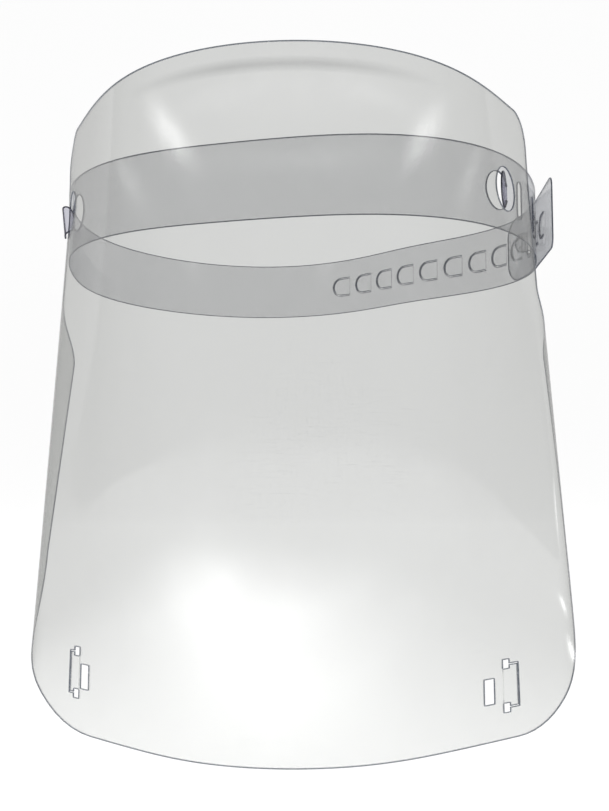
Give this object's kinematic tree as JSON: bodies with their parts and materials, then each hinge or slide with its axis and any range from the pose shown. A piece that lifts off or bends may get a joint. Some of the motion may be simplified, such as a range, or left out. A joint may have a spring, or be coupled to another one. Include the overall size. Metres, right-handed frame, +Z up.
{
  "type": "face shield",
  "caption": "Clear flat-pack face shield: a bent visor sheet locked by round tabs to an adjustable die-cut headband strip.",
  "frame": {"origin": "middle of the headband ring, halfway up the strip, where the wearer's head sits", "axes": "+X to the viewer's right, -Y the way the wearer faces, +Z up"},
  "size_m": [0.1958, 0.2433, 0.2149],
  "materials": {
    "visor_clear": "clear glossy sheet",
    "band_clear": "clear glossy strip, slightly greyer",
    "tab_clear": "clear glossy tab with darker die-cut edges"
  },
  "bodies": {
    "root": {"visor": "visor_clear", "headband": "band_clear"},
    "lock_tab_left": {"lock_tab_left": "tab_clear"},
    "lock_tab_right": {"lock_tab_right": "tab_clear"},
    "corner_tab_left": {"corner_tab_left": "visor_clear"},
    "corner_tab_right": {"corner_tab_right": "visor_clear"},
    "size_tongue_01": {"size_tongue_01": "tab_clear"},
    "size_tongue_02": {"size_tongue_02": "tab_clear"},
    "size_tongue_03": {"size_tongue_03": "tab_clear"},
    "size_tongue_04": {"size_tongue_04": "tab_clear"},
    "size_tongue_05": {"size_tongue_05": "tab_clear"},
    "size_tongue_06": {"size_tongue_06": "tab_clear"},
    "size_tongue_07": {"size_tongue_07": "tab_clear"},
    "size_tongue_08": {"size_tongue_08": "tab_clear"},
    "size_tongue_09": {"size_tongue_09": "tab_clear"},
    "size_tongue_10": {"size_tongue_10": "tab_clear"},
    "size_tongue_11": {"size_tongue_11": "tab_clear"},
    "size_tongue_12": {"size_tongue_12": "tab_clear"}
  },
  "joints": [
    {"name": "lock_tab_left_crease", "type": "hinge", "parent": "root", "child": "lock_tab_left", "pos_m": [-0.08024, -0.05004, -0.00236], "axis": [0.1716, -0.3688, -0.9135], "range_deg": [-60, 2]},
    {"name": "lock_tab_right_crease", "type": "hinge", "parent": "root", "child": "lock_tab_right", "pos_m": [0.07714, -0.07491, 0], "axis": [0, 0, 1], "range_deg": [-20, 28]},
    {"name": "corner_tab_left_crease", "type": "hinge", "parent": "root", "child": "corner_tab_left", "pos_m": [-0.06979, -0.07977, -0.1636], "axis": [0.0222, -0.016, 0.9996], "range_deg": [-45, 45], "stiffness_Nm_per_rad": 0.0001},
    {"name": "corner_tab_right_crease", "type": "hinge", "parent": "root", "child": "corner_tab_right", "pos_m": [0.0709, -0.08914, -0.1665], "axis": [0.0165, 0.0203, -0.9997], "range_deg": [-45, 45], "stiffness_Nm_per_rad": 0.0001},
    {"name": "size_tongue_01_crease", "type": "hinge", "parent": "root", "child": "size_tongue_01", "pos_m": [0.02572, 0.09447, 0], "axis": [0, 0, -1], "range_deg": [-40, 40], "stiffness_Nm_per_rad": 0.0001},
    {"name": "size_tongue_02_crease", "type": "hinge", "parent": "root", "child": "size_tongue_02", "pos_m": [0.03607, 0.08498, 0], "axis": [0, 0, -1], "range_deg": [-40, 40], "stiffness_Nm_per_rad": 0.0001},
    {"name": "size_tongue_03_crease", "type": "hinge", "parent": "root", "child": "size_tongue_03", "pos_m": [0.04567, 0.07473, 0], "axis": [0, 0, -1], "range_deg": [-40, 40], "stiffness_Nm_per_rad": 0.0001},
    {"name": "size_tongue_04_crease", "type": "hinge", "parent": "root", "child": "size_tongue_04", "pos_m": [0.05549, 0.06468, 0], "axis": [0, 0, -1], "range_deg": [-40, 40], "stiffness_Nm_per_rad": 0.0001},
    {"name": "size_tongue_05_crease", "type": "hinge", "parent": "root", "child": "size_tongue_05", "pos_m": [0.066, 0.05535, 0], "axis": [0, 0, -1], "range_deg": [-40, 40], "stiffness_Nm_per_rad": 0.0001},
    {"name": "size_tongue_06_crease", "type": "hinge", "parent": "root", "child": "size_tongue_06", "pos_m": [0.07652, 0.04604, 0], "axis": [0, 0, -1], "range_deg": [-40, 40], "stiffness_Nm_per_rad": 0.0001},
    {"name": "size_tongue_07_crease", "type": "hinge", "parent": "root", "child": "size_tongue_07", "pos_m": [0.08595, 0.03565, 0], "axis": [0, 0, -1], "range_deg": [-40, 40], "stiffness_Nm_per_rad": 0.0001},
    {"name": "size_tongue_08_crease", "type": "hinge", "parent": "root", "child": "size_tongue_08", "pos_m": [0.09329, 0.0237, 0], "axis": [0, 0, -1], "range_deg": [-40, 40], "stiffness_Nm_per_rad": 0.0001},
    {"name": "size_tongue_09_crease", "type": "hinge", "parent": "root", "child": "size_tongue_09", "pos_m": [0.09782, 0.01043, 0], "axis": [0, 0, -1], "range_deg": [0, 40], "stiffness_Nm_per_rad": 0.0001},
    {"name": "size_tongue_10_crease", "type": "hinge", "parent": "root", "child": "size_tongue_10", "pos_m": [0.09946, -0.0035, 0], "axis": [0, 0, -1], "range_deg": [-20, 0], "stiffness_Nm_per_rad": 0.0001},
    {"name": "size_tongue_11_crease", "type": "hinge", "parent": "root", "child": "size_tongue_11", "pos_m": [0.09914, -0.01754, 0], "axis": [0, 0, -1], "range_deg": [0, 40], "stiffness_Nm_per_rad": 0.0001},
    {"name": "size_tongue_12_crease", "type": "hinge", "parent": "root", "child": "size_tongue_12", "pos_m": [0.09869, -0.03159, 0], "axis": [0, 0, -1], "range_deg": [0, 40], "stiffness_Nm_per_rad": 0.0001}
  ]
}
